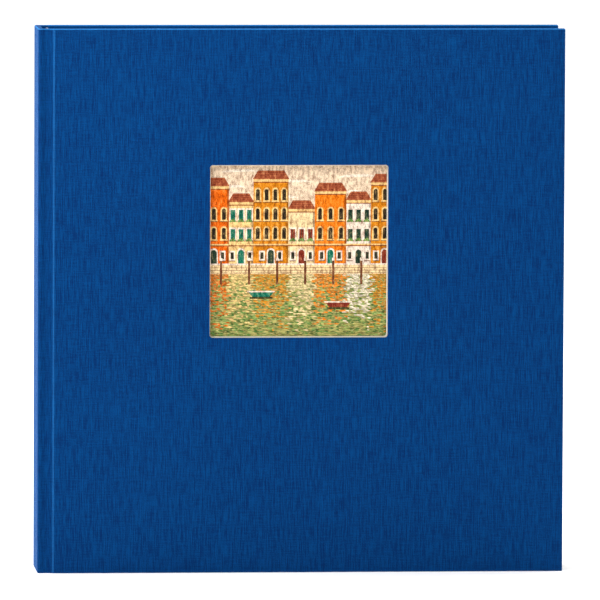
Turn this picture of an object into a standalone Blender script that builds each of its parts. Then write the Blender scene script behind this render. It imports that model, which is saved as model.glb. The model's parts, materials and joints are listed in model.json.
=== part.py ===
"""A scrapbook album with a picture window in its cloth cover, standing closed on its tail edge.

The spine is at -X and the fore edge at +X, the front cover faces -Y, and the head is at +Z.
Both covers turn on upright hinges beside the spine, every leaf turns on its own crease, and
the window print slides out of its pocket towards the fore edge.
"""

import bmesh
import bpy
from mathutils import Vector

MM = 0.001

# The case: two cloth-covered boards and a spine
COVER_WIDTH = 300 * MM
COVER_HEIGHT = 310 * MM
BOARD_THICKNESS = 2.4 * MM
CLOTH_THICKNESS = 0.5 * MM
TURN_IN = 15 * MM
GLUE_GAP = 0.2 * MM
SPINE_BOARD_THICKNESS = 1.8 * MM
SHOULDER_DROP = 0.8 * MM
HINGE_FROM_SPINE = 5 * MM
BOARD_FROM_HINGE = 4 * MM
GROOVE_DEPTH = 1.6 * MM
HINGE_GAP = 0.3 * MM

# The picture window in the front cover
WINDOW_WIDTH = 101.5 * MM
WINDOW_HEIGHT = 98.3 * MM
WINDOW_CENTRE_X = -1.5 * MM
WINDOW_CENTRE_BELOW_HEAD = 126.7 * MM
WINDOW_CORNER = 1.5 * MM
CARD_RIM = 0.5 * MM
PRINT_MARGIN = 8 * MM
PRINT_THICKNESS = 0.25 * MM
PRINT_CLEARANCE = 0.4 * MM
SPACER_ARM = 12 * MM

# Endpapers and leaves
ENDPAPER_THICKNESS = 0.3 * MM
ENDPAPER_INSET = 4 * MM
COVER_TO_FLYLEAF = 0.35 * MM
LEAF_COUNT = 30
LEAF_PITCH = 1.0 * MM
LEAF_THICKNESS = 0.4 * MM
HEAD_SQUARE = 3 * MM
FORE_SQUARE = 4 * MM

# The bound edge of the block
GUARD_LENGTH = 13 * MM
GUARD_THICKNESS = 0.8 * MM
GLUED_EDGE = 4 * MM
CREASE_GAP = 0.3 * MM
HOLLOW = 1.3 * MM
LINING_THICKNESS = 0.3 * MM
MULL_THICKNESS = 0.3 * MM
MULL_WRAP = 6 * MM
BAND_HEIGHT = 1.6 * MM
BAND_WIDTH = 2.6 * MM

# Depths in a cover, from the outer face of its cloth
BOARD_DEPTH = CLOTH_THICKNESS + GLUE_GAP
TURN_IN_DEPTH = BOARD_DEPTH + BOARD_THICKNESS + GLUE_GAP
PRINT_DEPTH = TURN_IN_DEPTH + CLOTH_THICKNESS + GLUE_GAP
PASTEDOWN_DEPTH = PRINT_DEPTH + PRINT_THICKNESS + GLUE_GAP
COVER_DEPTH = PASTEDOWN_DEPTH + ENDPAPER_THICKNESS

# Half of the thickness: half of the leaves, a flyleaf and a cover
FLYLEAF_Y = LEAF_PITCH * (LEAF_COUNT + 1) / 2
HALF_THICKNESS = FLYLEAF_Y + ENDPAPER_THICKNESS / 2 + COVER_TO_FLYLEAF + COVER_DEPTH
SHOULDER_Y = HALF_THICKNESS - SHOULDER_DROP
GROOVE_Y = HALF_THICKNESS - GROOVE_DEPTH

# Places along X, from the spine to the fore edge
SPINE_X = -COVER_WIDTH / 2
FORE_X = COVER_WIDTH / 2
SPINE_BOARD_X = SPINE_X + BOARD_DEPTH
SPINE_TURN_IN_X = SPINE_BOARD_X + SPINE_BOARD_THICKNESS + GLUE_GAP
LINING_X = SPINE_TURN_IN_X + CLOTH_THICKNESS + HOLLOW
MULL_X = LINING_X + LINING_THICKNESS + GLUE_GAP
BLOCK_X = MULL_X + MULL_THICKNESS + GLUE_GAP
CREASE_X = BLOCK_X + GUARD_LENGTH + CREASE_GAP
LEAF_FORE_X = FORE_X - FORE_SQUARE
HINGE_X = SPINE_X + HINGE_FROM_SPINE
BOARD_X = HINGE_X + BOARD_FROM_HINGE
CLOTH_EDGE_X = BOARD_X - BOARD_DEPTH

# Heights
HEAD_Z = COVER_HEIGHT
BLOCK_TAIL_Z = HEAD_SQUARE
BLOCK_HEAD_Z = HEAD_Z - HEAD_SQUARE
WINDOW_CENTRE_Z = HEAD_Z - WINDOW_CENTRE_BELOW_HEAD

FRONT = -1
BACK = 1

# A cutter runs this far past the face that it opens
OVERCUT = 5 * MM
CORNER_SEGMENTS = 4


def clear_scene():
    for old in list(bpy.data.objects):
        bpy.data.objects.remove(old)


def material(name, colour, roughness):
    made = bpy.data.materials.new(name)
    made.use_nodes = True
    shader = made.node_tree.nodes["Principled BSDF"]
    shader.inputs["Base Color"].default_value = (*colour, 1)
    shader.inputs["Roughness"].default_value = roughness
    shader.inputs["Metallic"].default_value = 0
    return made


def box_mesh(low, high, corner=0):
    """A box between two corners, its four edges along Y rounded by the corner radius."""
    size = Vector(high) - Vector(low)
    middle = (Vector(high) + Vector(low)) / 2
    shape = bmesh.new()
    bmesh.ops.create_cube(shape, size=1)
    for vertex in shape.verts:
        vertex.co = Vector(a * b for a, b in zip(vertex.co, size)) + middle
    if corner:
        along_y = [e for e in shape.edges if abs(e.verts[0].co.y - e.verts[1].co.y) > size.y / 2]
        bmesh.ops.bevel(
            shape, geom=along_y, offset=corner, segments=CORNER_SEGMENTS, affect="EDGES", profile=0.5
        )
    return shape


def add_object(name, shape, finish, origin=(0, 0, 0)):
    """Turns a bmesh made in world coordinates into an object whose origin is at the given place."""
    bmesh.ops.translate(shape, verts=shape.verts, vec=-Vector(origin))
    mesh = bpy.data.meshes.new(name)
    shape.to_mesh(mesh)
    shape.free()
    if finish:
        mesh.materials.append(finish)
    made = bpy.data.objects.new(name, mesh)
    made.location = origin
    bpy.context.scene.collection.objects.link(made)
    return made


def add_box(name, low, high, finish, origin=(0, 0, 0), corner=0):
    return add_object(name, box_mesh(low, high, corner), finish, origin)


def apply_boolean(target, operation, low, high, corner=0):
    """Cuts a box out of an object, or joins one to it. The helper box is hidden."""
    helper = add_box(f"{target.name}_{operation.lower()}", low, high, None, (0, 0, 0), corner)
    helper.hide_render = True
    helper.display_type = "WIRE"
    step = target.modifiers.new(helper.name, "BOOLEAN")
    step.operation = operation
    step.solver = "EXACT"
    step.object = helper


def cut(target, low, high, corner=0):
    apply_boolean(target, "DIFFERENCE", low, high, corner)


def join(target, low, high):
    apply_boolean(target, "UNION", low, high)


def layer(side, near, far, x_range, z_range):
    """The low and high corners of a box between two depths in the front or the back cover."""
    ys = sorted(side * (HALF_THICKNESS - depth) for depth in (near, far))
    return (x_range[0], ys[0], z_range[0]), (x_range[1], ys[1], z_range[1])


def window_layer(near, far, grow=0):
    """A box as large as the window in the front cover, grown on each side, between two depths."""
    half_width = WINDOW_WIDTH / 2 + grow
    half_height = WINDOW_HEIGHT / 2 + grow
    return layer(
        FRONT,
        near,
        far,
        (WINDOW_CENTRE_X - half_width, WINDOW_CENTRE_X + half_width),
        (WINDOW_CENTRE_Z - half_height, WINDOW_CENTRE_Z + half_height),
    )


def place_on_hinge(name, y, pieces):
    """Parents a cover's pieces to an empty on the cover's hinge axis."""
    axis = bpy.data.objects.new(name, None)
    axis.location = (HINGE_X, y, 0)
    bpy.context.scene.collection.objects.link(axis)
    bpy.context.view_layer.update()
    for piece in pieces:
        piece.parent = axis
        piece.matrix_parent_inverse = axis.matrix_world.inverted()


def cover_board(name, side, finish):
    return add_box(
        name,
        *layer(
            side,
            BOARD_DEPTH,
            BOARD_DEPTH + BOARD_THICKNESS,
            (BOARD_X, FORE_X - BOARD_DEPTH),
            (BOARD_DEPTH, HEAD_Z - BOARD_DEPTH),
        ),
        finish,
    )


def cover_cloth(name, side, finish):
    """Cloth over a board's face and three edges, turned in, with a strip down into the joint."""
    whole = (0, HEAD_Z)
    inner = TURN_IN_DEPTH + CLOTH_THICKNESS
    cloth = add_box(name, *layer(side, 0, inner, (CLOTH_EDGE_X, FORE_X), whole), finish)
    strip_foot = GROOVE_DEPTH + CLOTH_THICKNESS
    wall = (CLOTH_EDGE_X, CLOTH_EDGE_X + CLOTH_THICKNESS)
    # room for the board
    cut(
        cloth,
        *layer(
            side,
            CLOTH_THICKNESS,
            TURN_IN_DEPTH,
            (wall[1], FORE_X - CLOTH_THICKNESS),
            (CLOTH_THICKNESS, HEAD_Z - CLOTH_THICKNESS),
        ),
    )
    # the turn-ins leave the middle of the board bare
    cut(
        cloth,
        *layer(
            side,
            TURN_IN_DEPTH - GLUE_GAP,
            inner + OVERCUT,
            (CLOTH_EDGE_X - OVERCUT, FORE_X - TURN_IN),
            (TURN_IN, HEAD_Z - TURN_IN),
        ),
    )
    # open towards the spine, below the joint strip
    cut(
        cloth,
        *layer(
            side,
            strip_foot,
            inner + OVERCUT,
            (CLOTH_EDGE_X - OVERCUT, wall[1]),
            (-OVERCUT, HEAD_Z + OVERCUT),
        ),
    )
    strip = (HINGE_X + HINGE_GAP / 2, wall[1])
    join(cloth, *layer(side, GROOVE_DEPTH, strip_foot, strip, whole))
    return cloth


def levelling_card(name, side, finish):
    """Fills the inside of a board between the turn-ins."""
    return add_box(
        name,
        *layer(
            side,
            TURN_IN_DEPTH,
            TURN_IN_DEPTH + CLOTH_THICKNESS,
            (BOARD_X, FORE_X - TURN_IN - GLUE_GAP),
            (TURN_IN + GLUE_GAP, HEAD_Z - TURN_IN - GLUE_GAP),
        ),
        finish,
    )


def pastedown(name, side, finish):
    return add_box(
        name,
        *layer(
            side,
            PASTEDOWN_DEPTH,
            COVER_DEPTH,
            (BOARD_X, FORE_X - ENDPAPER_INSET),
            (ENDPAPER_INSET, HEAD_Z - ENDPAPER_INSET),
        ),
        finish,
    )


def window_print(finish):
    low, high = window_layer(PRINT_DEPTH, PRINT_DEPTH + PRINT_THICKNESS, PRINT_MARGIN)
    middle = (Vector(low) + Vector(high)) / 2
    return add_box("window_print", low, high, finish, middle)


def pocket_spacer(finish):
    """A U of thin card round the print, open towards the fore edge."""
    inside = PRINT_MARGIN + PRINT_CLEARANCE
    low, high = window_layer(PRINT_DEPTH, PRINT_DEPTH + PRINT_THICKNESS, inside)
    fore = FORE_X - ENDPAPER_INSET
    outer_low = (low[0] - SPACER_ARM, low[1], low[2] - SPACER_ARM)
    outer_high = (fore, high[1], high[2] + SPACER_ARM)
    spacer = add_box("pocket_spacer", outer_low, outer_high, finish)
    cut(spacer, (low[0], low[1] - OVERCUT, low[2]), (fore + OVERCUT, high[1] + OVERCUT, high[2]))
    return spacer


def make_front_cover(finishes):
    board = cover_board("front_board", FRONT, finishes["grey_board"])
    cut(board, *window_layer(0, COVER_DEPTH), WINDOW_CORNER)
    cloth = cover_cloth("front_cloth", FRONT, finishes["cover_cloth"])
    cut(cloth, *window_layer(-OVERCUT, BOARD_DEPTH), WINDOW_CORNER)
    card = levelling_card("window_card", FRONT, finishes["cream_card"])
    cut(card, *window_layer(BOARD_DEPTH, PRINT_DEPTH, -CARD_RIM), WINDOW_CORNER)
    pieces = [
        board,
        cloth,
        card,
        pastedown("front_pastedown", FRONT, finishes["endpaper"]),
        window_print(finishes["print_paper"]),
        pocket_spacer(finishes["cream_card"]),
    ]
    place_on_hinge("front_cover_axis", -HALF_THICKNESS, pieces)


def make_back_cover(finishes):
    pieces = [
        cover_board("back_board", BACK, finishes["grey_board"]),
        cover_cloth("back_cloth", BACK, finishes["cover_cloth"]),
        levelling_card("back_card", BACK, finishes["cream_card"]),
        pastedown("back_pastedown", BACK, finishes["endpaper"]),
    ]
    place_on_hinge("back_cover_axis", HALF_THICKNESS, pieces)


def make_spine(finishes):
    """The spine board and the cloth round it, with a strip of cloth down into each joint."""
    half = SHOULDER_Y - BOARD_DEPTH
    add_box(
        "spine_board",
        (SPINE_BOARD_X, -half, BOARD_DEPTH),
        (SPINE_BOARD_X + SPINE_BOARD_THICKNESS, half, HEAD_Z - BOARD_DEPTH),
        finishes["grey_board"],
    )
    inner = SPINE_TURN_IN_X + CLOTH_THICKNESS
    cloth = add_box(
        "spine_cloth", (SPINE_X, -SHOULDER_Y, 0), (inner, SHOULDER_Y, HEAD_Z), finishes["cover_cloth"]
    )
    room = SHOULDER_Y - CLOTH_THICKNESS
    strip_foot = GROOVE_Y - CLOTH_THICKNESS
    # room for the spine board
    cut(
        cloth,
        (SPINE_X + CLOTH_THICKNESS, -room, CLOTH_THICKNESS),
        (SPINE_TURN_IN_X, room, HEAD_Z - CLOTH_THICKNESS),
    )
    # the turn-ins at head and tail leave the middle of the spine board bare
    cut(
        cloth,
        (SPINE_TURN_IN_X - GLUE_GAP, -strip_foot, TURN_IN),
        (inner + OVERCUT, strip_foot, HEAD_Z - TURN_IN),
    )
    for side in (FRONT, BACK):
        ys = sorted((side * GROOVE_Y, side * strip_foot))
        join(
            cloth,
            (SPINE_TURN_IN_X, ys[0], 0),
            (HINGE_X - HINGE_GAP / 2, ys[1], HEAD_Z),
        )


def guard_block_outline():
    """The bound edge seen from above: a glued back with one guard for each leaf, like a comb."""
    tip = CREASE_X - CREASE_GAP
    root = BLOCK_X + GLUED_EDGE
    first = -LEAF_PITCH * (LEAF_COUNT - 1) / 2
    points = [(BLOCK_X, first - GUARD_THICKNESS / 2)]
    for index in range(LEAF_COUNT):
        middle = first + index * LEAF_PITCH
        low = middle - GUARD_THICKNESS / 2
        high = middle + GUARD_THICKNESS / 2
        if index:
            points.append((root, low))
        points.append((tip, low))
        points.append((tip, high))
        if index < LEAF_COUNT - 1:
            points.append((root, high))
    points.append((BLOCK_X, -points[0][1]))
    return points


def make_guard_block(finish):
    shape = bmesh.new()
    corners = [shape.verts.new((x, y, BLOCK_TAIL_Z)) for x, y in guard_block_outline()]
    tail = shape.faces.new(corners)
    grown = bmesh.ops.extrude_face_region(shape, geom=[tail])
    top = [item for item in grown["geom"] if isinstance(item, bmesh.types.BMVert)]
    bmesh.ops.translate(shape, verts=top, vec=(0, 0, BLOCK_HEAD_Z - BLOCK_TAIL_Z))
    bmesh.ops.recalc_face_normals(shape, faces=shape.faces)
    add_object("guard_block", shape, finish)


def make_spine_linings(finishes):
    """Open-weave mull round the bound edge, and a paper lining behind it."""
    half = LEAF_PITCH * (LEAF_COUNT - 1) / 2 + GUARD_THICKNESS / 2 + GLUE_GAP
    add_box(
        "spine_lining",
        (LINING_X, -half, BLOCK_TAIL_Z),
        (LINING_X + LINING_THICKNESS, half, BLOCK_HEAD_Z),
        finishes["lining_paper"],
    )
    mull = add_box(
        "mull",
        (MULL_X, -half - MULL_THICKNESS, BLOCK_TAIL_Z + TURN_IN),
        (BLOCK_X + MULL_WRAP, half + MULL_THICKNESS, BLOCK_HEAD_Z - TURN_IN),
        finishes["mull_gauze"],
    )
    cut(mull, (MULL_X + MULL_THICKNESS, -half, -OVERCUT), (BLOCK_X + MULL_WRAP + OVERCUT, half, HEAD_Z))


def make_bands(finish):
    """Sewn bands over the two ends of the bound edge."""
    half = LEAF_PITCH * (LEAF_COUNT - 1) / 2
    for name, low, high in (
        ("headband", BLOCK_HEAD_Z + GLUE_GAP, BLOCK_HEAD_Z + GLUE_GAP + BAND_HEIGHT),
        ("tailband", BLOCK_TAIL_Z - GLUE_GAP - BAND_HEIGHT, BLOCK_TAIL_Z - GLUE_GAP),
    ):
        add_box(name, (BLOCK_X, -half, low), (BLOCK_X + BAND_WIDTH, half, high), finish)


def add_leaf(name, y, thickness, finish):
    """A leaf from its crease to its fore edge, with its origin on the crease."""
    add_box(
        name,
        (CREASE_X, y - thickness / 2, BLOCK_TAIL_Z),
        (LEAF_FORE_X, y + thickness / 2, BLOCK_HEAD_Z),
        finish,
        (CREASE_X, y, 0),
    )


def make_leaves(finishes):
    add_leaf("front_flyleaf", -FLYLEAF_Y, ENDPAPER_THICKNESS, finishes["endpaper"])
    for index in range(LEAF_COUNT):
        y = LEAF_PITCH * (index - (LEAF_COUNT - 1) / 2)
        add_leaf(f"leaf_{index + 1:02d}", y, LEAF_THICKNESS, finishes["leaf_card"])
    add_leaf("back_flyleaf", FLYLEAF_Y, ENDPAPER_THICKNESS, finishes["endpaper"])


def make_finishes():
    return {
        "cover_cloth": material("cover_cloth", (0.004, 0.05, 0.2), 0.75),
        "grey_board": material("grey_board", (0.36, 0.33, 0.28), 0.9),
        "cream_card": material("cream_card", (0.8, 0.76, 0.66), 0.8),
        "endpaper": material("endpaper", (0.86, 0.84, 0.78), 0.8),
        "print_paper": material("print_paper", (0.62, 0.44, 0.24), 0.35),
        "leaf_card": material("leaf_card", (0.86, 0.85, 0.82), 0.8),
        "lining_paper": material("lining_paper", (0.42, 0.28, 0.16), 0.85),
        "mull_gauze": material("mull_gauze", (0.75, 0.72, 0.64), 0.95),
        "band_thread": material("band_thread", (0.1, 0.2, 0.5), 0.6),
    }


def main():
    clear_scene()
    finishes = make_finishes()
    make_front_cover(finishes)
    make_back_cover(finishes)
    make_spine(finishes)
    make_guard_block(finishes["leaf_card"])
    make_spine_linings(finishes)
    make_bands(finishes["band_thread"])
    make_leaves(finishes)


main()
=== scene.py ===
import json
import math
import random

import bpy
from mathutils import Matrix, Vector
from mathutils.geometry import delaunay_2d_cdt

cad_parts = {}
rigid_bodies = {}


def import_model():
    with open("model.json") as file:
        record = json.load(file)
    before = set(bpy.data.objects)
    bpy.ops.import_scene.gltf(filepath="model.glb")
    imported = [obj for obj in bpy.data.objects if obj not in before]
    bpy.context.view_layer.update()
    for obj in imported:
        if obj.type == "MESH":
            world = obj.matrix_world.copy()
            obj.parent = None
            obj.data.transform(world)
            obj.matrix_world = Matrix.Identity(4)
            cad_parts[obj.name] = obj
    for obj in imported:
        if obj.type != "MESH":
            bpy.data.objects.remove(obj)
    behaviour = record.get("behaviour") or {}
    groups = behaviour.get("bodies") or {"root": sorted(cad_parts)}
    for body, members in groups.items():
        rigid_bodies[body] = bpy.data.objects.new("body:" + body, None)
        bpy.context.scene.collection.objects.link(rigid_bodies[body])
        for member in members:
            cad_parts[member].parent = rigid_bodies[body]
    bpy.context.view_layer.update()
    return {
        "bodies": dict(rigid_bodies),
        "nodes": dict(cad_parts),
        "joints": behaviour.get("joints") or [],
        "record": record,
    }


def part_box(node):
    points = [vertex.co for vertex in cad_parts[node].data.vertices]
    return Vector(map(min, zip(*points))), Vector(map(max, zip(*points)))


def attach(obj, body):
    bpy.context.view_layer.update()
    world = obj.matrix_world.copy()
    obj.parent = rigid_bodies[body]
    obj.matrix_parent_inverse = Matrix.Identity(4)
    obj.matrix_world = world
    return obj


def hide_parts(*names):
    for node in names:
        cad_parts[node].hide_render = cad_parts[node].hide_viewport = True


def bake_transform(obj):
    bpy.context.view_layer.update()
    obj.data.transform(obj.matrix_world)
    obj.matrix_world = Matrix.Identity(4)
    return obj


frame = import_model()

MM = 0.001
FRONT, BACK = -1, 1
BLOCK = "book_block"

# ---------------------------------------------------------------- sizes taken from the frame

joint_place = {j["name"]: Vector(j["pos_m"]) for j in frame["joints"] if "pos_m" in j}
HINGE_X = joint_place["front_cover_hinge"].x
HALF = -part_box("front_cloth")[0].y
FORE_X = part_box("front_cloth")[1].x
HEAD_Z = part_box("front_cloth")[1].z
SPINE_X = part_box("spine_cloth")[0].x
BOARD_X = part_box("front_board")[0].x
CASE_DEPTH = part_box("front_cloth")[1].y + HALF
BLOCK_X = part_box("guard_block")[0].x
LEAF_LOW, LEAF_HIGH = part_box("leaf_01")
CREASE_X = LEAF_LOW.x
LEAF_NAMES = sorted(name for name in frame["nodes"] if name.startswith("leaf_"))
PRINT_LOW, PRINT_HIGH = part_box("window_print")
PRINT_MARGIN = 8 * MM
WINDOW_LOW = PRINT_LOW + Vector((PRINT_MARGIN, 0, PRINT_MARGIN))
WINDOW_HIGH = PRINT_HIGH - Vector((PRINT_MARGIN, 0, PRINT_MARGIN))
WINDOW_CORNER = 1.5 * MM

CLOTH = 0.45 * MM
TURN_IN = 15 * MM
EDGE_RADIUS = 0.8 * MM
ARC_MIDDLE = 0.586 * EDGE_RADIUS
CLOTH_STEP = 14 * MM
WINDOW_RIM = 0.6 * MM
WINDOW_DIP = 0.16 * MM
TOUCH = 1e-7
GROOVE_DEPTH = 1.75 * MM
FLYLEAF = 0.25 * MM
FOLD = 0.22 * MM
CARD = 0.34 * MM
TISSUE = 0.05 * MM
FLAT = "flat"


# ---------------------------------------------------------------- finishes

def linear(colour):
    """A colour given as red, green and blue from 0 to 255, as the shader wants it."""
    parts = [c / 255 for c in colour]
    return tuple(c / 12.92 if c <= 0.04045 else ((c + 0.055) / 1.055) ** 2.4 for c in parts)


CLOTH_DARK = linear((0, 37, 86))
CLOTH_LIGHT = linear((0, 64, 121))


class Value:
    """A number that varies over a surface. Arithmetic on it adds Math nodes."""

    def __init__(self, finish, socket):
        self.finish = finish
        self.socket = socket

    def math(self, operation, *others):
        inputs = dict(enumerate((self, *others)))
        return self.finish.value("ShaderNodeMath", {"operation": operation}, inputs)

    def __add__(self, other):
        return self.math("ADD", other)

    __radd__ = __add__

    def __sub__(self, other):
        return self.math("SUBTRACT", other)

    def __rsub__(self, other):
        return (self * -1) + other

    def __mul__(self, other):
        return self.math("MULTIPLY", other)

    __rmul__ = __mul__

    def between(self, low, high):
        """0 below low, 1 above high, and smooth between them."""
        return self.finish.value(
            "ShaderNodeMapRange",
            {"interpolation_type": "SMOOTHSTEP"},
            {0: self, 1: low, 2: high, 3: 0.0, 4: 1.0},
        )


class Nodes:
    """A node tree, added to one node at a time."""

    def __init__(self, tree):
        self.tree = tree

    def node(self, kind, settings=None, inputs=None):
        """Adds a node: first its settings, then the value or the link of each socket."""
        made = self.tree.nodes.new(kind)
        for key, value in (settings or {}).items():
            setattr(made, key, value)
        for key, value in (inputs or {}).items():
            self.feed(made.inputs[key], value)
        return made

    def feed(self, socket, value):
        if isinstance(value, Value):
            self.tree.links.new(value.socket, socket)
        else:
            socket.default_value = value

    def value(self, kind, settings=None, inputs=None, output=0):
        return Value(self, self.node(kind, settings, inputs).outputs[output])

    def axis(self, vector, index):
        return self.value("ShaderNodeSeparateXYZ", None, {0: vector}, index)


class Finish(Nodes):
    """A Principled material."""

    def __init__(self, name, roughness=0.8, specular=0.3):
        self.material = bpy.data.materials.new(name)
        self.material.use_nodes = True
        super().__init__(self.material.node_tree)
        self.shader = self.tree.nodes["Principled BSDF"]
        self.set(**{"Roughness": roughness, "Specular IOR Level": specular})

    def set(self, **inputs):
        for key, value in inputs.items():
            self.feed(self.shader.inputs[key], value)

    def colour(self, value):
        self.set(**{"Base Color": value})

    def flat(self):
        """Where a point lay on the flat sheet, in metres."""
        return self.value("ShaderNodeUVMap", {"uv_map": FLAT})

    def place(self):
        return self.value("ShaderNodeTexCoord", output="Object")

    def scaled(self, vector, across, along, deep=0.0):
        """A place divided by a grain's size in each direction."""
        by = tuple(1 / size if size else 0.0 for size in (across, along, deep))
        return self.value("ShaderNodeVectorMath", {"operation": "MULTIPLY"}, {0: vector, 1: by})

    def noise(self, vector, detail=2.0, rough=0.5):
        inputs = {"Vector": vector, "Scale": 1.0, "Detail": detail, "Roughness": rough}
        return self.value("ShaderNodeTexNoise", None, inputs)

    def mix(self, share, first, second, blend="MIX"):
        """Goes from the first colour to the second."""
        first, second = ((*c, 1.0) if isinstance(c, tuple) else c for c in (first, second))
        settings = {"data_type": "RGBA", "blend_type": blend}
        return self.value("ShaderNodeMix", settings, {0: share, 6: first, 7: second}, 2)

    def attribute(self, name, output="Fac"):
        return self.value("ShaderNodeAttribute", {"attribute_name": name}, None, output)

    def bump(self, height, distance, strength=1.0):
        inputs = {"Height": height, "Distance": distance, "Strength": strength}
        self.set(Normal=self.value("ShaderNodeBump", None, inputs))


def book_cloth():
    """Blue linen: a plain weave with uneven threads, most of them running from head to tail."""
    f = Finish("blue_linen", specular=0.06)
    flat = f.flat()
    across, along = f.axis(flat, 0), f.axis(flat, 1)
    warp_pitch, weft_pitch = 0.42 * MM, 0.46 * MM
    over = (across * (math.pi / warp_pitch)).math("SINE")
    under = (along * (math.pi / weft_pitch)).math("SINE")
    weave = over * under
    upright = f.noise(f.scaled(flat, 0.62 * MM, 9 * MM), 1.5)
    slubs = f.noise(f.scaled(flat, 1.3 * MM, 26 * MM), 2.0)
    level = f.noise(f.scaled(flat, 9 * MM, 0.62 * MM), 1.5)
    speck = f.noise(f.scaled(flat, 0.7 * MM, 0.8 * MM), 1.0)
    clouds = f.noise(f.scaled(flat, 90 * MM, 110 * MM), 2.0)
    thread = upright * 0.42 + slubs * 0.2 + level * 0.2 + speck * 0.18
    patches = f.noise(f.scaled(flat, 7 * MM, 9 * MM), 1.0).between(0.42, 0.6)
    ribs = ((across * (2 * math.pi / (1.13 * MM)) + level * 2).math("SINE")) * patches
    tone = thread.between(0.37, 0.63) * 0.8 + clouds.between(0.3, 0.7) * 0.06
    tone = tone + weave * 0.1 + ribs * 0.13 - 0.02
    blue = f.mix(tone, CLOTH_DARK, CLOTH_LIGHT)
    # Painted highlight: each point's edge share mixes the blue towards a light blue. On the rounded head
    # edge and the board's edge in the joint this stands in for light caught there; on the other rounded
    # edges a little of it is light wear.
    wear_and_highlight = f.attribute("wear_and_highlight") * (0.35 + 0.6 * speck)
    blue = f.mix(wear_and_highlight, blue, linear((52, 146, 226)))
    f.colour(blue)
    f.set(Roughness=0.74 + 0.2 * (1 - thread))
    tint = (*linear((96, 158, 232)), 1)
    f.set(**{"Sheen Weight": 0.4, "Sheen Roughness": 0.22, "Sheen Tint": tint})
    f.bump(weave * 0.5 + thread * 1.8, 0.12 * MM, 0.6)
    return f.material


def paper(name, light, dark, fleck=None):
    """Paper or card: faint clouds from its making, fine fibres and a few darker flecks."""
    f = Finish(name, 0.85, 0.25)
    flat = f.flat()
    clouds = f.noise(f.scaled(flat, 18 * MM, 22 * MM), 4.0, 0.6)
    fibre = f.noise(f.scaled(flat, 0.9 * MM, 2.7 * MM), 3.0, 0.65)
    tone = clouds.between(0.3, 0.7) * 0.55 + fibre.between(0.3, 0.7) * 0.45
    colour = f.mix(tone, linear(dark), linear(light))
    if fleck:
        spots = f.noise(f.scaled(flat, 1.1 * MM, 2.2 * MM), 1.0).between(0.7, 0.78)
        colour = f.mix(spots * 0.6, colour, linear(fleck))
    f.colour(colour)
    return f


def creased_paper(name, light, dark, crease):
    """Card with two scored lines where the leaf turns."""
    f = paper(name, light, dark)
    across = f.axis(f.flat(), 0)
    score = (((across - crease).math("ABSOLUTE") - 0.7 * MM).math("ABSOLUTE")).between(0.28 * MM, 0.0)
    source = f.shader.inputs["Base Color"].links[0].from_socket
    f.colour(f.mix(score * 0.3, Value(f, source), linear((160, 154, 144))))
    return f.material


def core_board():
    """Layers of grey pulp, seen only at the cut edges."""
    f = Finish("board", 0.9, 0.2)
    place = f.place()
    layers = f.noise(f.scaled(place, 9 * MM, 0.35 * MM, 9 * MM), 2.0)
    fibre = f.noise(f.scaled(place, 0.5 * MM, 0.5 * MM, 0.5 * MM), 3.0, 0.7)
    tone = layers * 0.6 + fibre * 0.4
    f.colour(f.mix(tone.between(0.35, 0.65), linear((150, 146, 136)), linear((186, 181, 170))))
    f.bump(fibre, 0.1 * MM, 0.5)
    return f.material


def card_stock(name, light, dark):
    """Card on a piece that has no flat coordinates of its own."""
    f = Finish(name, 0.85, 0.25)
    place = f.place()
    clouds = f.noise(f.scaled(place, 16 * MM, 16 * MM, 20 * MM), 4.0, 0.6)
    fibre = f.noise(f.scaled(place, 0.8 * MM, 0.8 * MM, 2.2 * MM), 3.0, 0.65)
    tone = clouds.between(0.3, 0.7) * 0.5 + fibre.between(0.3, 0.7) * 0.5
    f.colour(f.mix(tone, linear(dark), linear(light)))
    f.bump(fibre, 0.05 * MM, 0.4)
    return f.material


def tissue():
    """Thin glassine, with a web pressed into it."""
    f = Finish("glassine", 0.3, 0.5)
    flat = f.flat()
    settings = {"feature": "DISTANCE_TO_EDGE"}
    inputs = {"Vector": f.scaled(flat, 9 * MM, 9 * MM), "Scale": 1.0}
    web = f.value("ShaderNodeTexVoronoi", settings, inputs).between(0.0, 0.07)
    clouds = f.noise(f.scaled(flat, 20 * MM, 26 * MM), 3.0)
    tone = web * 0.6 + clouds * 0.4
    f.colour(f.mix(tone, linear((226, 228, 226)), linear((200, 204, 202))))
    f.set(Alpha=0.45)
    f.bump(web, 0.08 * MM, 0.5)
    return f.material


def gauze():
    """Open, starched mull."""
    f = Finish("mull", 0.95, 0.1)
    place = f.place()
    threads = []
    for index, pitch in ((1, 1.1 * MM), (2, 1.4 * MM)):
        wave = (f.axis(place, index) * (2 * math.pi / pitch)).math("SINE")
        threads.append(wave.between(0.1, 0.9))
    cover = threads[0].math("MAXIMUM", threads[1])
    f.colour(f.mix(cover, linear((168, 150, 122)), linear((240, 234, 220))))
    f.bump(cover, 0.15 * MM)
    return f.material


def kraft():
    """Brown lining paper with the long fibres of kraft."""
    f = Finish("kraft", 0.85, 0.2)
    place = f.place()
    fibre = f.noise(f.scaled(place, 1.2 * MM, 1.2 * MM, 7 * MM), 4.0, 0.7)
    f.colour(f.mix(fibre.between(0.35, 0.65), linear((150, 112, 74)), linear((190, 152, 108))))
    f.bump(fibre, 0.06 * MM, 0.5)
    return f.material


def band_thread():
    """Two colours of silk in turn, wound over a cord."""
    f = Finish("band_silk", 0.45, 0.5)
    along = f.axis(f.flat(), 0)
    stripe = (along * (2 * math.pi / (3.2 * MM))).math("SINE").between(-0.12, 0.12)
    strand = (along * (2 * math.pi / (0.4 * MM))).math("SINE")
    shade = f.mix(strand.between(-1, 1) * 0.25, linear((34, 60, 104)), linear((20, 38, 70)))
    blue = f.mix(strand.between(-1, 1) * 0.35, linear((14, 52, 108)), linear((4, 20, 52)))
    f.colour(f.mix(stripe, shade, blue))
    f.set(**{"Sheen Weight": 0.2})
    f.bump(strand, 0.08 * MM)
    return f.material


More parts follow.
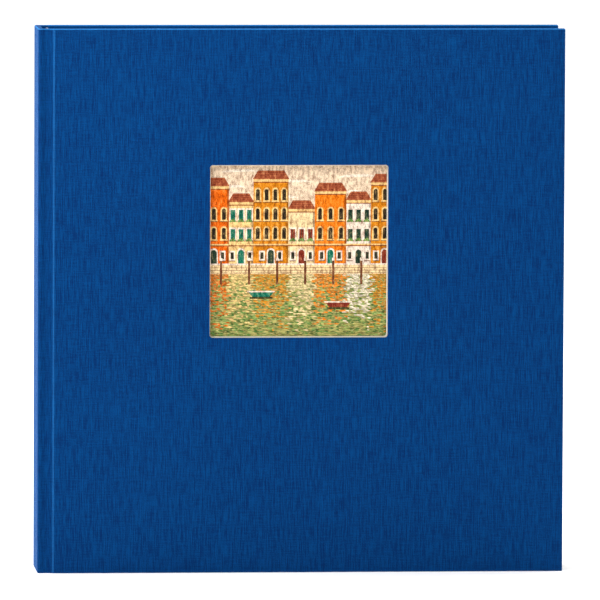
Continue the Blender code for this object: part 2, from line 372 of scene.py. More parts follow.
def painted_walls():
    """The printed sky, houses and quay: each patch's own colour, with brushwork over it."""
    f = Finish("printed_walls", 0.4, 0.08)
    flat = f.flat()
    wash = f.noise(f.scaled(flat, 1.6 * MM, 3.6 * MM), 4.0, 0.65)
    grain = f.noise(f.scaled(flat, 0.5 * MM, 0.5 * MM), 2.0, 0.7)
    tone = wash * 0.6 + grain * 0.4
    ink = f.attribute("ink", "Color")
    darker = f.mix(tone.between(0.6, 0.34) * 0.9, ink, linear((122, 76, 46)), "MULTIPLY")
    lighter = f.mix(tone.between(0.5, 0.72) * 0.35, darker, linear((252, 208, 140)))
    f.colour(lighter)
    return f.material


def painted_water():
    """The printed water: each patch's own colour, broken up by level ripples."""
    f = Finish("printed_water", 0.4, 0.08)
    flat = f.flat()
    ripple = f.noise(f.scaled(flat, 4.5 * MM, 0.8 * MM), 4.0, 0.62)
    glint = f.noise(f.scaled(flat, 2.2 * MM, 0.45 * MM), 2.0, 0.6)
    ink = f.attribute("ink", "Color")
    darker = f.mix(ripple.between(0.56, 0.36) * 0.72, ink, linear((130, 120, 70)), "MULTIPLY")
    lighter = f.mix(glint.between(0.56, 0.68) * 0.45, darker, linear((250, 228, 160)))
    f.colour(lighter)
    return f.material


# ---------------------------------------------------------------- making meshes

def keep_rims_crisp(mesh):
    """Marks the open edges sharp, so that a sheet is shaded flat right up to its cut edge."""
    uses = {}
    for polygon in mesh.polygons:
        for pair in polygon.edge_keys:
            uses[pair] = uses.get(pair, 0) + 1
    for edge in mesh.edges:
        edge.use_edge_sharp = uses.get(edge.key, 0) == 1


def add_mesh(name, points, faces, materials, flat=None, slots=None, smooth=True):
    """An object from points and faces. flat holds each face's corners on the flat sheet."""
    mesh = bpy.data.meshes.new(name)
    mesh.from_pydata([tuple(p) for p in points], [], faces)
    for made in materials:
        mesh.materials.append(made)
    if flat:
        layer = mesh.uv_layers.new(name=FLAT)
        corners = [corner for face in flat for corner in face]
        for loop, corner in zip(layer.data, corners):
            loop.uv = corner
    for index, polygon in enumerate(mesh.polygons):
        polygon.use_smooth = smooth
        if slots:
            polygon.material_index = slots[index]
    mesh.update()
    keep_rims_crisp(mesh)
    made = bpy.data.objects.new(name, mesh)
    bpy.context.scene.collection.objects.link(made)
    return made


def thicken(piece, thickness, offset):
    step = piece.modifiers.new("thickness", "SOLIDIFY")
    step.thickness = thickness
    step.offset = offset


def smooth_path(points, steps):
    """A curve through the points, with that many steps between each two."""
    points = [Vector(p) for p in points]
    ends = [2 * points[0] - points[1], *points, 2 * points[-1] - points[-2]]
    path = []
    for a, b, c, d in zip(ends, ends[1:], ends[2:], ends[3:]):
        for step in range(steps):
            t = step / steps
            path.append(
                0.5
                * (
                    2 * b
                    + (c - a) * t
                    + (2 * a - 5 * b + 4 * c - d) * t**2
                    + (3 * b - a - 3 * c + d) * t**3
                )
            )
    path.append(points[-1])
    return path


def spaced(start, end, step):
    """Numbers from start to end, both included, no further apart than step."""
    count = max(1, math.ceil(abs(end - start) / step))
    return [start + (end - start) * i / count for i in range(count + 1)]


def swept_sheet(name, path, heights, thickness, material, flat_start=0.0):
    """A sheet that follows a path seen from above and stands upright."""
    along = [flat_start]
    for a, b in zip(path, path[1:]):
        along.append(along[-1] + (b - a).length)
    rows = len(heights)
    points = [(p.x, p.y, z) for p in path for z in heights]
    faces, flat = [], []
    for i in range(len(path) - 1):
        for j in range(rows - 1):
            corners = ((i, j), (i + 1, j), (i + 1, j + 1), (i, j + 1))
            faces.append([a * rows + b for a, b in corners])
            flat.append([(along[a], heights[b]) for a, b in corners])
    made = add_mesh(name, points, faces, [material], flat)
    thicken(made, thickness, 0)
    return made


# ---------------------------------------------------------------- the cloth case

def round_edges(x, depth, z):
    """Moves a point on the sharp outside of a covered board onto its rounded edges."""
    r = EDGE_RADIUS
    core = Vector(
        (
            min(x, FORE_X - r),
            min(max(depth, r), CASE_DEPTH - r),
            min(max(z, r), HEAD_Z - r),
        )
    )
    out = Vector((x, depth, z)) - core
    return core + out * (r / out.length) if out.length > r else core + out


def edge_steps(low, high):
    """Places close to two rounded edges, three at each."""
    near = [low, low + ARC_MIDDLE, low + EDGE_RADIUS]
    return near, [high - EDGE_RADIUS, high - ARC_MIDDLE, high]


def joint_paths():
    """Two curves seen from above, from the front cover's face to mid-spine.

    The first is the outside of the cloth. The second is where its head and tail turn-ins lie.
    """
    outer = [
        (BOARD_X + 3 * MM, 0),
        (BOARD_X + 1.4 * MM, 0),
        (BOARD_X + 0.2 * MM, 0.06 * MM),
        (BOARD_X - 0.7 * MM, 0.5 * MM),
        (BOARD_X - 1.8 * MM, 1.25 * MM),
        (HINGE_X + 0.6 * MM, GROOVE_DEPTH),
        (HINGE_X - 0.8 * MM, GROOVE_DEPTH),
        (HINGE_X - 2.1 * MM, 1.2 * MM),
        (HINGE_X - 3.2 * MM, 0.82 * MM),
        (SPINE_X + 1.1 * MM, 0.8 * MM),
        (SPINE_X + 0.3 * MM, 1.15 * MM),
        (SPINE_X, 2.0 * MM),
        (SPINE_X, 3.8 * MM),
    ]
    behind = SPINE_X + 3.1 * MM
    inner = [
        (BOARD_X + 3 * MM, CASE_DEPTH),
        (BOARD_X + 1.4 * MM, CASE_DEPTH),
        (BOARD_X + 0.1 * MM, CASE_DEPTH),
        (BOARD_X - 0.75 * MM, 3.35 * MM),
        (BOARD_X - 1.6 * MM, 2.6 * MM),
        (HINGE_X + 0.8 * MM, 2.75 * MM),
        (HINGE_X - 0.3 * MM, 2.85 * MM),
        (HINGE_X - 1.1 * MM, 2.95 * MM),
        (behind + 0.3 * MM, 3.4 * MM),
        (behind + 0.05 * MM, 4.1 * MM),
        (behind, 4.9 * MM),
        (behind, 6.0 * MM),
        (behind, 7.5 * MM),
    ]
    paths = []
    for points in (outer, inner):
        path = smooth_path([(x, depth - HALF) for x, depth in points], 4)
        steps = 7
        end = path[-1]
        path += [Vector((end.x, end.y * (1 - k / steps))) for k in range(1, steps + 1)]
        paths.append(path)
    return paths


class ClothShell:
    """The outside of one half of the cloth case, as a grid that folds round the edges."""

    def __init__(self, side, window):
        self.side = side
        self.window = window
        self.points, self.keys, self.wear_and_highlight = [], {}, []
        self.faces, self.flat = [], []
        low, high = edge_steps(0, HEAD_Z)
        marks = [TURN_IN, HEAD_Z - TURN_IN] + self.window_marks(WINDOW_LOW.z, WINDOW_HIGH.z)
        self.heights = low + self.filled(low[-1], high[0], marks) + high
        near, far = edge_steps(0, CASE_DEPTH)
        self.depths = near + far
        marks = [FORE_X - TURN_IN] + self.window_marks(WINDOW_LOW.x, WINDOW_HIGH.x)
        self.path, self.lining = joint_paths()
        last = edge_steps(0, FORE_X)[1]
        self.widths = [self.path[0].x] + self.filled(self.path[0].x, last[0], marks) + last
        self.make_ring()

    def window_marks(self, low, high):
        """Where the grid has lines along two opposite edges of the window."""
        if not self.window:
            return []
        outward = [low - WINDOW_RIM, low, low + WINDOW_CORNER]
        return outward + [high + WINDOW_RIM, high, high - WINDOW_CORNER]

    def filled(self, start, end, marks):
        """Steps strictly between start and end that take in the marks."""
        stops = sorted([start, *marks, end])
        steps = []
        for a, b in zip(stops, stops[1:]):
            steps += spaced(a, b, CLOTH_STEP)[1:]
        return steps[:-1]

    def make_ring(self):
        """The way round a column: up the tail turn-in, over the face and down the head turn-in."""
        flange = self.filled(EDGE_RADIUS, TURN_IN, [])
        tail = [TURN_IN, *reversed(flange), EDGE_RADIUS, ARC_MIDDLE]
        ring = [(z, CASE_DEPTH, -CASE_DEPTH - z) for z in tail]
        ring += [(0, d, -d) for d in reversed(self.depths[1:])]
        ring += [(z, 0, z) for z in self.heights]
        top = HEAD_Z + CASE_DEPTH
        ring += [(HEAD_Z, d, HEAD_Z + d) for d in self.depths[1:]]
        ring += [(HEAD_Z - z, CASE_DEPTH, top + z) for z in reversed(tail)]
        self.ring = ring

    def add_point(self, key, x, y, z, wear_and_highlight):
        if key not in self.keys:
            self.keys[key] = len(self.points)
            self.points.append((x, self.side * -y, z))
            self.wear_and_highlight.append(wear_and_highlight)
        return self.keys[key]

    def panel_point(self, x, depth, z):
        rounded = round_edges(x, depth, z)
        wear_and_highlight = self.edge_wear_and_highlight(rounded, Vector((x, depth, z)))
        dip = WINDOW_DIP if self.on_window_edge(x, depth, z) else 0.0
        key = tuple(round(v * 1e7) for v in (x, depth, z))
        return self.add_point(key, rounded.x, -HALF + rounded.y + dip, rounded.z, wear_and_highlight)

    def on_window_edge(self, x, depth, z):
        if not self.window or depth:
            return False
        in_x = WINDOW_LOW.x - TOUCH < x < WINDOW_HIGH.x + TOUCH
        in_z = WINDOW_LOW.z - TOUCH < z < WINDOW_HIGH.z + TOUCH
        return in_x and in_z

    def add_face(self, corners, flat):
        if self.side == BACK:
            corners, flat = corners[::-1], flat[::-1]
        self.faces.append(corners)
        self.flat.append(flat)

    def in_window(self, x0, x1, z0, z1):
        if not self.window:
            return False
        middle_x, middle_z = (x0 + x1) / 2, (z0 + z1) / 2
        in_x = WINDOW_LOW.x < middle_x < WINDOW_HIGH.x
        return in_x and WINDOW_LOW.z < middle_z < WINDOW_HIGH.z

    def panel(self):
        """The face over the board, with its head, tail and fore edges."""
        for x0, x1 in zip(self.widths, self.widths[1:]):
            for a, b in zip(self.ring, self.ring[1:]):
                if a[1] == 0 and b[1] == 0 and self.in_window(x0, x1, a[0], b[0]):
                    continue
                sharp = [(x0, a), (x1, a), (x1, b), (x0, b)]
                corners = [self.panel_point(x, p[1], p[0]) for x, p in sharp]
                self.add_face(corners, [(x, p[2]) for x, p in sharp])
        for z0, z1 in zip(self.heights, self.heights[1:]):
            for d0, d1 in zip(self.depths, self.depths[1:]):
                sharp = [(d0, z0), (d1, z0), (d1, z1), (d0, z1)]
                corners = [self.panel_point(FORE_X, d, z) for d, z in sharp]
                self.add_face(corners, [(FORE_X + d, z) for d, z in sharp])
        self.fore_turn_in()

    def fore_turn_in(self):
        """The fore edge's cloth inside the cover, between the head and tail turn-ins."""
        columns = [x for x in self.widths if x >= FORE_X - TURN_IN - TOUCH]
        rows = [z for z in self.heights if TURN_IN - TOUCH <= z <= HEAD_Z - TURN_IN + TOUCH]
        for x0, x1 in zip(columns, columns[1:]):
            for z0, z1 in zip(rows, rows[1:]):
                sharp = [(x1, z0), (x0, z0), (x0, z1), (x1, z1)]
                corners = [self.panel_point(x, CASE_DEPTH, z) for x, z in sharp]
                unfolded = 2 * FORE_X + CASE_DEPTH
                self.add_face(corners, [(unfolded - x, z) for x, z in sharp])

    def window_corners(self):
        """Fills each sharp corner of the cut window up to its rounding."""
        corners = (
            (WINDOW_LOW.x, WINDOW_LOW.z, 1, 1),
            (WINDOW_HIGH.x, WINDOW_LOW.z, -1, 1),
            (WINDOW_HIGH.x, WINDOW_HIGH.z, -1, -1),
            (WINDOW_LOW.x, WINDOW_HIGH.z, 1, -1),
        )
        for x, z, right, up in corners:
            r = WINDOW_CORNER
            turns = [math.pi / 2 * k / 5 for k in range(6)]
            arc = [
                (x + right * r * (1 - math.sin(t)), z + up * r * (1 - math.cos(t)))
                for t in turns
            ]
            tip = self.panel_point(x, 0, z)
            for a, b in zip(arc, arc[1:]):
                corners = [tip, self.panel_point(a[0], 0, a[1]), self.panel_point(b[0], 0, b[1])]
                flat = [(x, z), a, b]
                if right * up < 0:
                    corners, flat = corners[::-1], flat[::-1]
                self.add_face(corners, flat)

    def joint_and_spine(self):
        """From the board's face through the joint groove and round the shoulder to mid-spine."""
        walked = [0.0]
        for a, b in zip(self.path, self.path[1:]):
            walked.append(walked[-1] + (b - a).length)
        for i in range(len(self.path) - 1):
            for j in range(len(self.ring) - 1):
                sharp = [(i, j), (i, j + 1), (i + 1, j + 1), (i + 1, j)]
                corners = [self.column_point(column, k) for column, k in sharp]
                flat = [(self.path[0].x - walked[column], self.ring[k][2]) for column, k in sharp]
                self.add_face(corners, flat)

    def column_point(self, i, j):
        z, depth, _ = self.ring[j]
        point = self.path[i]
        if i == 0:
            return self.panel_point(point.x, depth, z)
        rounded = round_edges(0, depth, z)
        place = point.lerp(self.lining[i], rounded.y / CASE_DEPTH)
        wear_and_highlight = self.edge_wear_and_highlight(rounded, Vector((0, depth, z)))
        if depth == 0:
            # Painted highlight: a narrow lighter line along the board's rounded edge in the joint groove,
            # where it catches the light.
            board_edge_highlight = 1 - abs(point.x - BOARD_X + 0.1 * MM) / (0.7 * MM)
            wear_and_highlight = max(wear_and_highlight, 0.35 * board_edge_highlight)
        return self.add_point(("column", i, j), place.x, place.y, rounded.z, wear_and_highlight)

    def edge_wear_and_highlight(self, rounded, sharp):
        """How far a rounded edge is lightened: the head's edge fully, as a painted highlight of the light
        falling from above; the other edges a quarter as much, as light wear.
        """
        share = min(1.0, (rounded - sharp).length / (0.2 * MM))
        return share if sharp.z > HEAD_Z - EDGE_RADIUS else share * 0.25

    def make(self, name, material):
        self.panel()
        if self.window:
            self.window_corners()
        self.joint_and_spine()
        made = add_mesh(name, self.points, self.faces, [material], self.flat)
        # Each point's share of the painted edge highlight (head edge and joint groove) and of light edge
        # wear.
        wear_and_highlight = made.data.attributes.new("wear_and_highlight", "FLOAT", "POINT")
        wear_and_highlight.data.foreach_set("value", self.wear_and_highlight)
        thicken(made, CLOTH, -1)
        return made


def make_case(material):
    window = (WINDOW_HIGH.x - WINDOW_LOW.x) * (WINDOW_HIGH.z - WINDOW_LOW.z)
    halves = (
        ("front_case_cloth", FRONT, "front_cover", ("front_cloth", "spine_cloth"), window),
        ("back_case_cloth", BACK, "back_cover", ("back_cloth",), 0.0),
    )
    for name, side, cover, stands_for, cut_out in halves:
        cloth = ClothShell(side, side == FRONT).make(name, material)
        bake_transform(cloth)
        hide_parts(*stands_for)


# ---------------------------------------------------------------- leaves and endpapers

def leaf_path(y, end_x, lean=0.0):
    """From the glued edge, past the crease, to the fore edge, where a leaf may lean a little."""
    xs = spaced(BLOCK_X, CREASE_X - 2.4 * MM, 4 * MM)
    xs += spaced(CREASE_X - 2.4 * MM, CREASE_X + 2.4 * MM, 0.6 * MM)[1:]
    xs += spaced(CREASE_X + 2.4 * MM, end_x, 30 * MM)[1:]
    run = end_x - CREASE_X
    return [Vector((x, y + lean * max(0.0, (x - CREASE_X) / run) ** 2)) for x in xs]


def turn_on_crease(sheet):
    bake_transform(sheet)


def make_leaves(card, glassine):
    """Each leaf with the tissue that lies on its front. No two are cut quite alike."""
    chance = random.Random(7)
    for name in LEAF_NAMES:
        low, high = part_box(name)
        y = (low.y + high.y) / 2
        trim = chance.uniform(-0.25, 0.25) * MM
        lean = chance.uniform(-0.12, 0.12) * MM
        heights = [low.z + abs(trim), (low.z + high.z) / 2, high.z - chance.uniform(0, 0.3) * MM]
        start = BLOCK_X - CREASE_X
        path = leaf_path(y, high.x + trim, lean)
        leaf = swept_sheet(f"{name}_card", path, heights, CARD, card, start)
        turn_on_crease(leaf)
        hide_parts(name)
        tissue_y = y - CARD / 2 - 0.06 * MM
        short = chance.uniform(1.5, 2.5) * MM
        heights = [low.z + 1 * MM, (low.z + high.z) / 2, high.z - 1.2 * MM]
        path = leaf_path(tissue_y, high.x - short, lean - 0.08 * MM)
        film = swept_sheet(f"{name}_tissue", path, heights, TISSUE, glassine, start)
        turn_on_crease(film)


def make_endpapers(material):
    """The flyleaves, and the folds that join them to the pastedowns across the joint."""
    for side, cover in ((FRONT, "front_cover"), (BACK, "back_cover")):
        which = "front" if side == FRONT else "back"
        low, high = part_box(f"{which}_flyleaf")
        y = (low.y + high.y) / 2
        heights = [low.z, (low.z + high.z) / 2, high.z]
        path, start = leaf_path(y, high.x), BLOCK_X - CREASE_X
        flyleaf = swept_sheet(f"{which}_flyleaf_paper", path, heights, FLYLEAF, material, start)
        turn_on_crease(flyleaf)
        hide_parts(f"{which}_flyleaf")
        paste_low, paste_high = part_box(f"{which}_pastedown")
        paste = abs(paste_low.y + paste_high.y) / 2
        fold = [
            (paste_low.x + 0.2 * MM, paste),
            (paste_low.x - 0.9 * MM, paste + 0.25 * MM),
            (HINGE_X + 2.6 * MM, HALF - GROOVE_DEPTH - 1.3 * MM),
            (HINGE_X + 0.6 * MM, HALF - GROOVE_DEPTH - 0.75 * MM),
            (HINGE_X - 0.5 * MM, HALF - GROOVE_DEPTH - 1.4 * MM),
            (BLOCK_X - 0.2 * MM, abs(y) + 0.35 * MM),
            (BLOCK_X + 1.2 * MM, abs(y) + 0.16 * MM),
        ]
        path = [Vector((p.x, side * p.y)) for p in smooth_path(fold, 4)]
        heights = [paste_low.z, (paste_low.z + paste_high.z) / 2, paste_high.z]
        hinge = swept_sheet(f"{which}_endpaper_fold", path, heights, FOLD, material)
        start = (BLOCK_X + 0.4 * MM, side * (abs(y) + 0.4 * MM), 0)
        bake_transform(hinge)


def make_guards(material):
    """Strips of card between the leaves at the bound edge."""
    points, faces, flat = [], [], []
    low_z, high_z = LEAF_LOW.z, LEAF_HIGH.z
    tip = CREASE_X - 2.1 * MM
    middles = [(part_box(name)[0].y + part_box(name)[1].y) / 2 for name in LEAF_NAMES]
    for below, above in zip(middles, middles[1:]):
        y0 = below + CARD / 2 + 0.02 * MM
        y1 = above - CARD / 2 - 0.1 * MM
        base = len(points)
        outline = [(BLOCK_X, y0), (tip, y0), (tip, y1), (BLOCK_X, y1)]
        points += [(x, y, z) for z in (low_z, high_z) for x, y in outline]
        sides = [(0, 1, 5, 4), (1, 2, 6, 5), (2, 3, 7, 6), (3, 0, 4, 7), (3, 2, 1, 0), (4, 5, 6, 7)]
        for side in sides:
            faces.append([base + k for k in side])
            flat.append([(points[base + k][0], points[base + k][2]) for k in side])
    guards = add_mesh("guard_strips", points, faces, [material], flat, smooth=False)
    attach(guards, BLOCK)
    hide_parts("guard_block")


def make_bands(material):
    """Silk wound over a cord, across each end of the bound edge."""
    for name in ("headband", "tailband"):
        low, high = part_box(name)
        up = 1 if name == "headband" else -1
        foot = low.z if up > 0 else high.z
        reach = high.z - low.z
        middle_x = low.x + 1.3 * MM
        ys = spaced(low.y, high.y, 0.1 * MM)
        turns = [math.pi * (k / 10) for k in range(11)]
        points, faces, flat = [], [], []
        for y in ys:
            swell = 1 + 0.07 * math.sin(2 * math.pi * y / (0.4 * MM))
            for t in turns:
                x = middle_x - math.cos(t) * 1.2 * MM * swell
                points.append((x, y, foot + up * math.sin(t) * reach * 0.93 * swell))
        rows = len(turns)
        for i in range(len(ys) - 1):
            for j in range(rows):
                k = (j + 1) % rows
                face = [i * rows + j, (i + 1) * rows + j, (i + 1) * rows + k, i * rows + k]
                faces.append(face if up > 0 else face[::-1])
                flat.append([(points[v][1], j * 0.4 * MM) for v in faces[-1]])
        for row in (0, len(ys) - 1):
            end = [row * rows + j for j in range(rows)]
            turned = (row == 0) == (up > 0)
            faces.append(end if turned else end[::-1])
            flat.append([(points[v][1], 0.0) for v in end])
        band = add_mesh(f"{name}_silk", points, faces, [material], flat)
        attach(band, BLOCK)
        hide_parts(name)


# ---------------------------------------------------------------- the window print

WALL, WATER, BARE = 0, 1, 2
PRINT_BORDER = 5.0

STONE = (240, 212, 160)
PALE = (240, 224, 204)
ORANGE = (240, 124, 10)
DEEP_ORANGE = (236, 104, 0)
OCHRE = (216, 132, 14)
CREAM = (240, 200, 130)
RUST = (132, 46, 30)
SHADE = (44, 34, 22)
TEAL = (14, 118, 94)
SHUTTER = (36, 62, 46)


def rectangle(x0, z0, x1, z1):
    return [(x0, z0), (x1, z0), (x1, z1), (x0, z1)]


class Picture:
    """Coloured patches in millimetres from the window's lower left corner. Later ones lie on top."""

    def __init__(self):
        self.patches = []

    def patch(self, outline, colour, kind=WALL):
        area = sum(a[0] * b[1] - b[0] * a[1] for a, b in zip(outline, outline[1:] + outline[:1]))
        if area < 0:
            outline = outline[::-1]
        self.patches.append((outline, linear(colour), kind))

    def box(self, x0, z0, x1, z1, colour, kind=WALL):
        self.patch(rectangle(x0, z0, x1, z1), colour, kind)

    def arched(self, middle, foot, width, top, colour):
        """An opening under a round arch."""
        half = width / 2
        right = [
            (middle + half * math.cos(t), top - half + half * math.sin(t)) for t in (0, 0.4, 0.8, 1.2)
        ]
        left = [(2 * middle - x, z) for x, z in reversed(right)]
        self.patch([(middle - half, foot), (middle + half, foot), *right, (middle, top), *left], colour)

    def window(self, middle, foot, width, top, glass, frame):
        """Glass in a stone frame, with a sill and the shadow under it."""
        self.arched(middle, foot - 0.6, width + 1.5, top + 0.9, frame)
        self.arched(middle, foot, width, top, glass)
        left, right, sill = middle - width / 2, middle + width / 2, foot - 0.9
        self.box(left - 1.1, sill, right + 1.1, sill + 0.7, frame)
        self.box(left - 1.0, foot - 1.3, right + 1.0, sill, (110, 64, 32))

    def shutters(self, x0, z0, x1, z1, colour):
        """Two closed shutters in a square stone frame."""
        self.box(x0 - 0.8, z0 - 1.0, x1 + 0.8, z1 + 0.9, PALE)
        self.box(x0 - 0.9, z0 - 1.4, x1 + 0.9, z0 - 0.9, (116, 72, 38))
        self.box(x0, z0, x1, z1, colour)
        self.line([((x0 + x1) / 2, z0), ((x0 + x1) / 2, z1)], 0.28, (8, 60, 50))

    def ledge(self, x0, x1, z, height):
        """A string course with its shadow."""
        self.box(x0, z - 0.6, x1, z, (150, 78, 34))
        self.box(x0, z, x1, z + height, CREAM)

    def line(self, points, width, colour):
        """A stroke of even width along some points."""
        upper, lower = [], []
        for i, (x, z) in enumerate(points):
            a = Vector(points[max(i - 1, 0)])
            b = Vector(points[min(i + 1, len(points) - 1)])
            across = Vector((a.y - b.y, b.x - a.x)).normalized() * width / 2
            upper.append((x + across.x, z + across.y))
            lower.append((x - across.x, z - across.y))
        self.patch(upper + lower[::-1], colour)


TILES = (164, 84, 50)
JOINT = (150, 112, 74)
QUAY = 42
ROW_START = -6
# each house front's width, height above the lower edge, wall and shutters, from left to right
HOUSES = (
    (17, 86, DEEP_ORANGE, SHUTTER),
    (14, 77, CREAM, TEAL),
    (20, 90, OCHRE, SHUTTER),
    (15, 73, STONE, RUST),
    (18, 83, ORANGE, TEAL),
    (14, 78, PALE, SHUTTER),
    (16, 88, OCHRE, RUST),
)
GREENS = ((96, 142, 70), (132, 160, 84), (82, 122, 56), (160, 166, 92), (182, 172, 100))


def sky(p):
    """A warm sky with level banks of cloud."""
    p.box(-5, QUAY, 105, 102, (232, 208, 178))
    for index in range(9):
        x, z = (index * 37) % 104 - 8, 76 + index * 3
        p.patch([(x, z), (x + 22, z + 0.5), (x + 17, z + 1.9), (x + 5, z + 1.5)], (250, 236, 214))


def houses(p):
    """A plain row of painted house fronts, every other one with shutters and window boxes."""
    x = ROW_START
    for index, (width, top, wall, shutter) in enumerate(HOUSES):
        right = x + width
        eaves = [(x - 0.5, top), (right + 0.5, top), (right - 2.5, top + 5), (x + 2.5, top + 5)]
        p.patch(eaves, TILES)
        for step in range(1, 4):
            inset, z = step * 0.6, top + step * 1.25
            p.line([(x + inset, z), (right - inset, z)], 0.35, RUST)
        p.box(x, QUAY, right, top, wall)
        p.box(right - 1.1, QUAY, right, top, tuple(round(c * 0.72) for c in wall))
        p.ledge(x, right, top - 1.4, 1.4)
        p.ledge(x, right, QUAY + 10.4, 0.8)
        columns = round(width / 5.5)
        for k in range(columns):
            middle = x + width * (k + 0.5) / columns
            for z in range(QUAY + 14, top - 8, 11):
                if index % 2:
                    p.shutters(middle - 1.3, z, middle + 1.3, z + 5.6, shutter)
                    plants(p, middle - 1.6, middle + 1.6, z - 1.6)
                else:
                    p.window(middle, z, 2.2, z + 6.4, SHADE, CREAM)
        door = x + width / 2
        p.arched(door, QUAY, 4.8, QUAY + 8.8, PALE)
        p.arched(door, QUAY, 3.4, QUAY + 7.8, shutter)
        for middle in (door - 5, door + 5):
            p.shutters(middle - 0.9, QUAY + 2.6, middle + 0.9, QUAY + 6.4, SHADE)
        x = right


def plants(p, x0, x1, z):
    """A row of leaves, cut short and slanting."""
    for index in range(int((x1 - x0) / 0.7)):
        x = x0 + index * 0.7
        foot = z + (index * 0.37) % 1.1
        outline = [(x, foot), (x + 1.2, foot + 0.3), (x + 0.9, foot + 1.6), (x - 0.3, foot + 1.2)]
        p.patch(outline, GREENS[index % 3])


def quay(p):
    """A coursed stone wall with posts before it, and two small boats."""
    p.box(-5, QUAY - 6, 105, QUAY, STONE)
    p.box(-5, QUAY - 0.9, 105, QUAY, PALE)
    for row in range(3):
        z = QUAY - 2.4 - row * 1.5
        p.line([(-5, z), (105, z)], 0.3, JOINT)
        for k in range(20):
            x = -4 + k * 5.6 + (row % 2) * 2.8
            p.line([(x, z), (x, z + 1.4)], 0.3, JOINT)
    for x in range(6, 104, 16):
        p.box(x, QUAY - 12, x + 1.3, QUAY + 3, (112, 62, 38))
        p.box(x - 0.1, QUAY + 1.6, x + 1.4, QUAY + 3.2, PALE)
    for x, z, hull in ((22, 26, TEAL), (66, 20, RUST)):
        p.patch([(x, z), (x + 15, z), (x + 12.6, z - 3), (x + 2.6, z - 3)], hull)
        p.line([(x - 0.4, z), (x + 15.4, z)], 0.8, PALE)
        p.box(x + 1, z - 4.2, x + 14, z - 3, (70, 74, 36))


def wall_above(x):
    """The colour of the house front that stands over a place in the water."""
    end = ROW_START
    for width, _, wall, _ in HOUSES:
        end += width
        if x < end:
            return wall
    return wall


def water_colour(x, z, chance):
    """The house fronts reflected near the quay, and green water in front."""
    reflected = chance.random() * 34 < z - 2
    tone = wall_above(x + chance.uniform(-2.0, 2.0)) if reflected else chance.choice(GREENS)
    shade = chance.choice((0.72, 0.84, 0.92, 1.0))
    return tuple(round(c * shade) for c in tone)


def water(p, chance):
    """Short level strokes, longer and further apart towards the front."""
    p.box(-5, -5, 105, QUAY, (150, 148, 80), WATER)
    z = QUAY - 5.5
    while z > -4:
        near = 1 - z / 50
        step = 0.5 + 0.42 * near
        x = chance.uniform(-6, -4)
        while x < 104:
            long = chance.uniform(1.0, 3.4) * (0.6 + 0.9 * near)
            colour = water_colour(x + long / 2, z, chance)
            thick = step * chance.uniform(0.4, 0.7)
            upper = (x + long * 0.4, z + thick)
            lower = (x + long * 0.6, z - thick)
            p.patch([(x, z), upper, (x + long, z + 0.05), lower], colour, WATER)
            x += long * chance.uniform(0.55, 0.9)
        z -= step


def make_print(walls, water_finish, white):
    """The print: a planar mesh in which each face takes the uppermost patch that covers it."""
    p = Picture()
    water(p, random.Random(11))
    sky(p)
    houses(p)
    quay(p)
    margin = PRINT_MARGIN / MM
    right = (PRINT_HIGH.x - PRINT_LOW.x) / MM - margin
    top = (PRINT_HIGH.z - PRINT_LOW.z) / MM - margin
    inked = (PRINT_BORDER - margin, right - PRINT_BORDER, top - PRINT_BORDER)
    patches = [
        (rectangle(-margin, -margin, right, top), (0.9, 0.9, 0.88), BARE),
        (rectangle(inked[0], inked[0], inked[1], inked[2]), linear(OCHRE), WALL),
        *p.patches,
    ]
    corners, outlines = [], []
    for points, _, _ in patches:
        outlines.append(list(range(len(corners), len(corners) + len(points))))
        corners += [Vector(point) for point in points]
    verts, _, tris, _, _, owners = delaunay_2d_cdt(corners, [], outlines, 1, 1e-5)
    y = PRINT_LOW.y
    points = [(WINDOW_LOW.x + v.x * MM, y, WINDOW_LOW.z + v.y * MM) for v in verts]
    kept, inks, slots = [], [], []
    for tri, owner in zip(tris, owners):
        middle = sum((verts[k] for k in tri), Vector((0, 0))) / len(tri)
        on_sheet = -margin <= middle.x <= right and -margin <= middle.y <= top
        if not owner or not on_sheet:
            continue
        framed = inked[0] < middle.x < inked[1] and inked[0] < middle.y < inked[2]
        _, colour, kind = patches[max(owner) if framed else 0]
        kept.append(list(tri))
        inks.append(colour)
        slots.append(kind)
    flat = [[(points[k][0], points[k][2]) for k in face] for face in kept]
    made = add_mesh("window_picture", points, kept, [walls, water_finish, white], flat, slots, smooth=False)
    ink = made.data.attributes.new("ink", "FLOAT_COLOR", "FACE")
    ink.data.foreach_set("color", [part for colour in inks for part in (*colour, 1.0)])
    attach(made, "window_print")
    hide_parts("window_print")


# ---------------------------------------------------------------- finishes for the frame's own nodes

def finish_nodes(finishes):
    for node, finish in finishes.items():
        mesh = frame["nodes"][node].data
        mesh.materials.clear()
        mesh.materials.append(finish)


# ---------------------------------------------------------------- floor, light and camera

def make_stage():
    f = Finish("floor", 0.95, 0.0)
    soft = f.noise(f.scaled(f.place(), 0.6, 0.6, 0.6), 2.0)
    f.colour(f.mix(soft * 0.3, (0.97, 0.97, 0.97), (0.95, 0.95, 0.95)))
    reach = 14.0
    corners = [(-reach, -reach, 0), (reach, -reach, 0), (reach, reach, 0), (-reach, reach, 0)]
    floor = add_mesh("floor", corners, [[0, 1, 2, 3]], [f.material])
    make_sky()
    add_light("key", (-0.45, -0.62, 0.85), 0.5, 7.5)
    add_light("side", (-2.4, 0.5, 0.9), 1.2, 50)
    add_light("fill", (1.7, 1.4, 1.2), 1.4, 28)
    bpy.context.scene.view_settings.view_transform = "Standard"


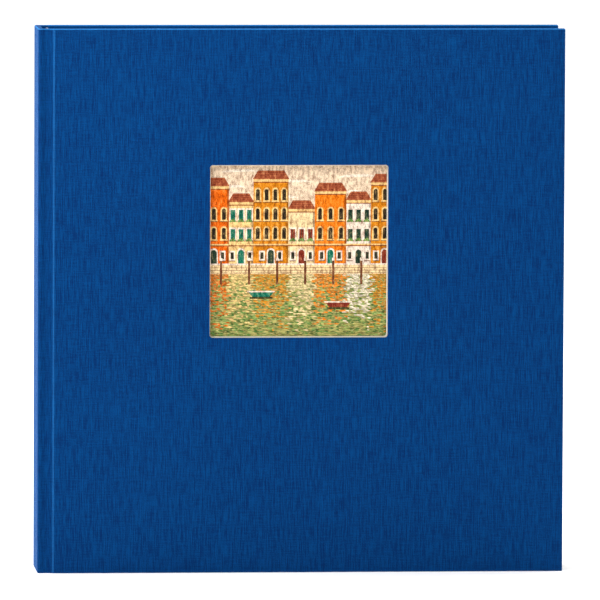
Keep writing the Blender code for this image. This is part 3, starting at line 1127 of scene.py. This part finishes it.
def make_sky():
    """A white studio, brightest overhead and behind the album."""
    world = bpy.data.worlds.new("studio")
    world.use_nodes = True
    sky = Nodes(world.node_tree)
    way = sky.value("ShaderNodeTexCoord")
    back = sky.axis(way, 1).between(-0.9, 0.6)
    above = sky.axis(way, 2).between(0.1, 0.8)
    left = (sky.axis(way, 0) * -1).between(-0.2, 1.0)
    strength = 0.16 + back * 0.72 + above * 0.72 + left * 0.2
    background = world.node_tree.nodes["Background"]
    sky.feed(background.inputs["Color"], (1, 1, 1, 1))
    sky.feed(background.inputs["Strength"], strength)
    bpy.context.scene.world = world


def add_light(name, place, size, watts):
    lamp = bpy.data.lights.new(name, "AREA")
    lamp.shape = "DISK"
    lamp.size = size
    lamp.energy = watts
    made = bpy.data.objects.new(name, lamp)
    made.location = place
    aim = Vector((0, 0, HEAD_Z / 2)) - Vector(place)
    made.rotation_euler = aim.to_track_quat("-Z", "Y").to_euler()
    bpy.context.scene.collection.objects.link(made)


def make_camera():
    azimuth, elevation, roll = (math.radians(a) for a in (-4.78, 4.72, 0.24))
    distance = 6.0
    level = math.cos(elevation)
    back = Vector((math.sin(azimuth) * level, -math.cos(azimuth) * level, math.sin(elevation)))
    data = bpy.data.cameras.new("camera")
    data.lens = 631.3
    data.clip_end = 60
    camera = bpy.data.objects.new("camera", data)
    camera.location = Vector((0.9 * MM, 0, 153.9 * MM)) + back * distance
    camera.rotation_euler = back.to_track_quat("Z", "Y").to_euler()
    camera.rotation_euler.rotate_axis("Z", roll)
    bpy.context.scene.collection.objects.link(camera)
    bpy.context.scene.camera = camera


def main():
    linen = book_cloth()
    leaf = creased_paper("leaf_card", (214, 210, 199), (198, 193, 180), 0.0)
    endpaper = paper("endpaper", (218, 210, 194), (202, 193, 175), fleck=(168, 156, 134)).material
    card = card_stock("cream_card", (226, 222, 208), (212, 206, 190))
    white = card_stock("print_border", (232, 230, 222), (222, 220, 210))
    board = core_board()
    make_case(linen)
    make_leaves(leaf, tissue())
    make_endpapers(endpaper)
    make_guards(paper("guard_card", (188, 182, 168), (168, 161, 146)).material)
    make_bands(band_thread())
    make_print(painted_walls(), painted_water(), white)
    pasted = card_stock("pastedown", (218, 210, 194), (202, 193, 175))
    finish_nodes(
        {
            "front_board": board,
            "back_board": board,
            "spine_board": board,
            "window_card": card,
            "back_card": card,
            "pocket_spacer": card,
            "front_pastedown": pasted,
            "back_pastedown": pasted,
            "spine_lining": kraft(),
            "mull": gauze(),
        }
    )
    make_stage()
    make_camera()


main()
